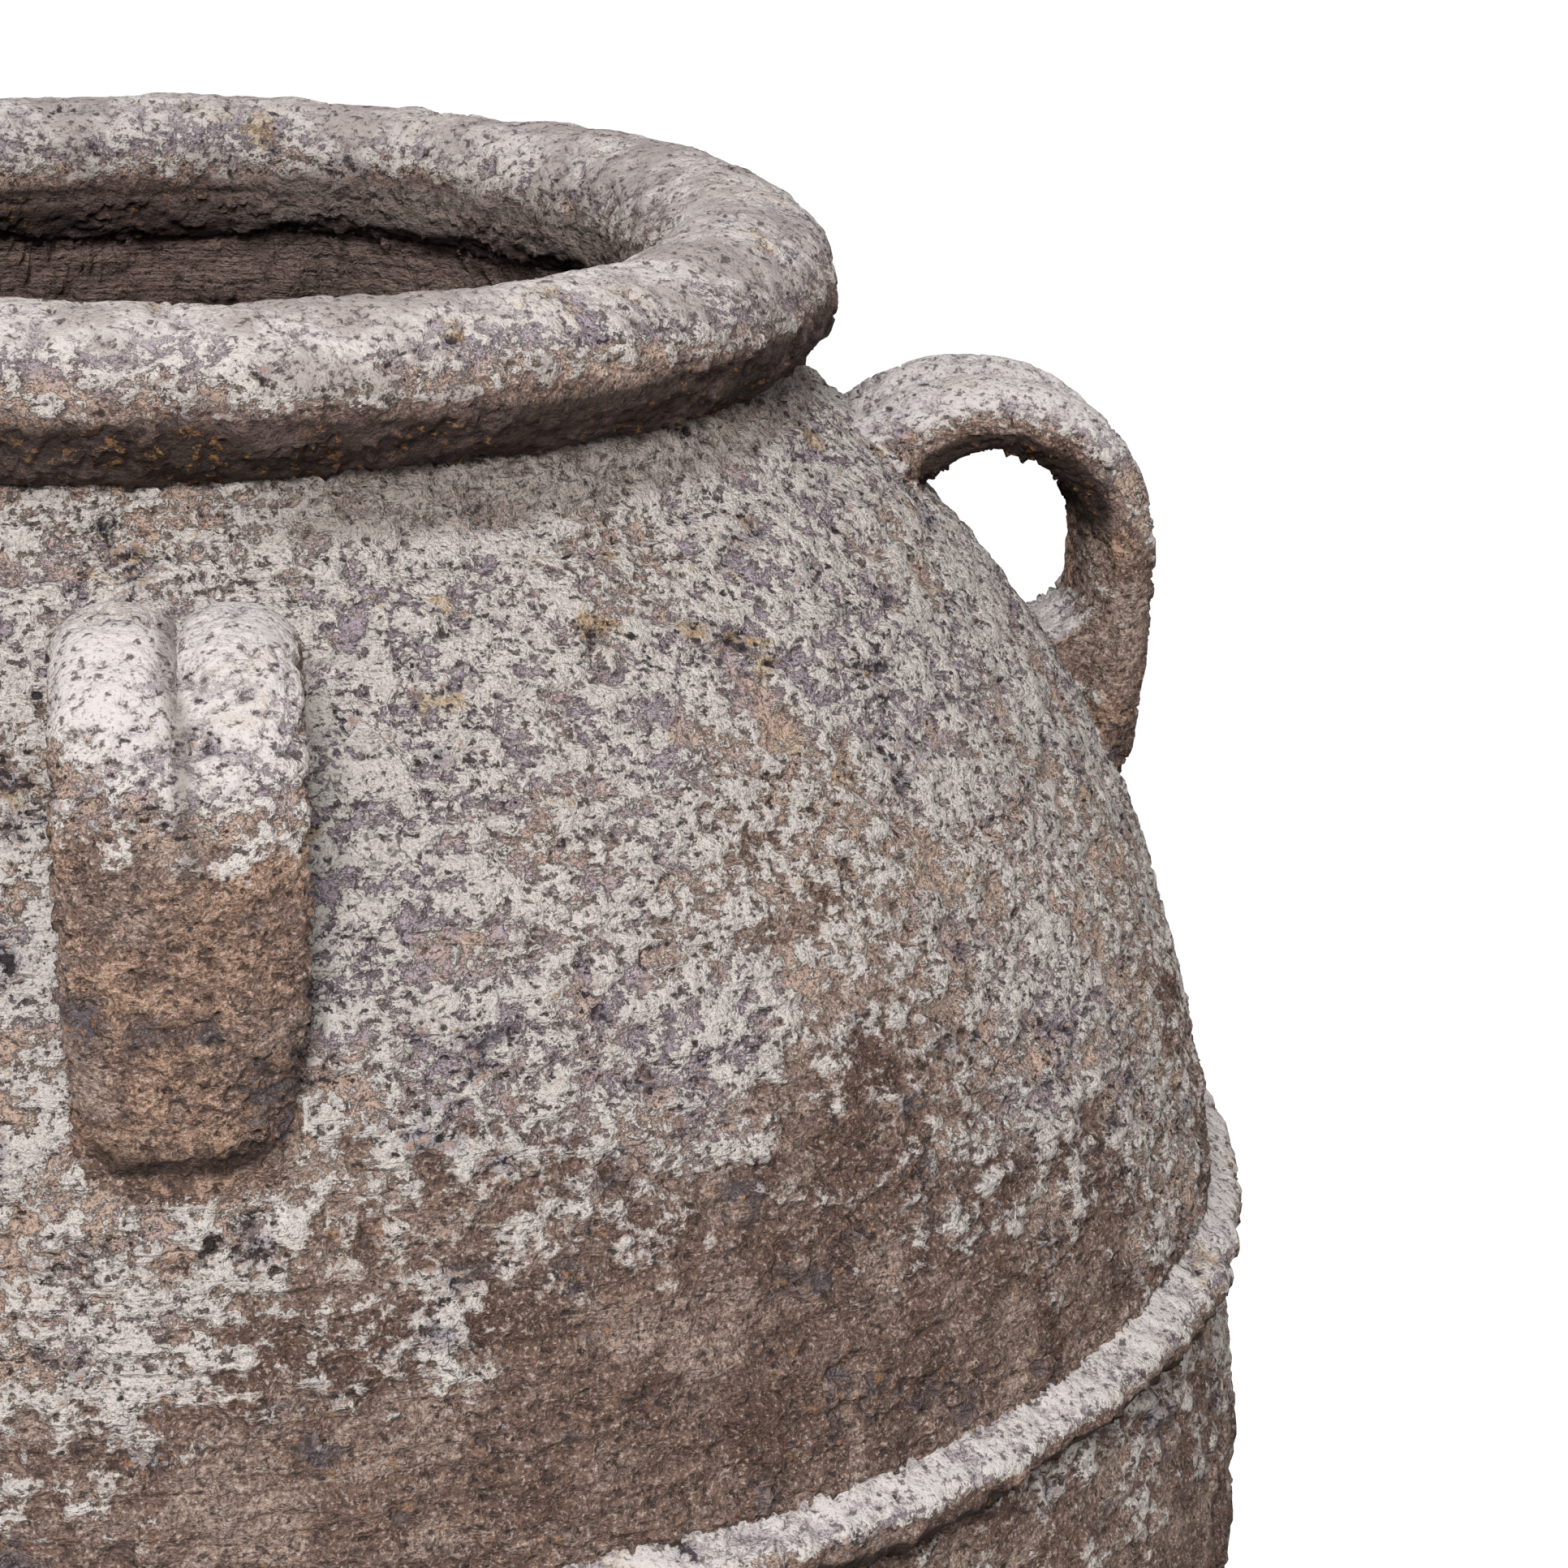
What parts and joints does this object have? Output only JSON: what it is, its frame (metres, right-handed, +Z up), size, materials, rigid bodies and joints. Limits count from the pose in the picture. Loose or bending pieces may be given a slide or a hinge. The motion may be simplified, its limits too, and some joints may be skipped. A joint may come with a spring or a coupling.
{
  "type": "storage jar",
  "caption": "Tall round-shouldered clay storage jar with a thick rolled rim, upright double-coil handles on the shoulder and raised bands around the wall.",
  "frame": {"origin": "middle of the underside of the base", "axes": "+Z up along the axis of the jar, the front handle on -Y and the right handle on +X"},
  "size_m": [0.8539, 0.854, 1.1],
  "materials": {
    "fired_clay": "coarse unglazed fired clay, weathered, with pale mineral and lichen crust"
  },
  "bodies": {
    "root": {"floor_slab": "fired_clay", "foot_course": "fired_clay", "lower_course": "fired_clay", "belly_course": "fired_clay", "shoulder_course": "fired_clay", "neck_ring": "fired_clay", "rim_roll": "fired_clay", "foot_band": "fired_clay", "belly_band": "fired_clay", "shoulder_band": "fired_clay", "handle_right_left_coil": "fired_clay", "handle_right_right_coil": "fired_clay", "handle_right_lower_wad": "fired_clay", "handle_back_left_coil": "fired_clay", "handle_back_right_coil": "fired_clay", "handle_back_lower_wad": "fired_clay", "handle_left_left_coil": "fired_clay", "handle_left_right_coil": "fired_clay", "handle_left_lower_wad": "fired_clay", "handle_front_left_coil": "fired_clay", "handle_front_right_coil": "fired_clay", "handle_front_lower_wad": "fired_clay"}
  },
  "joints": []
}
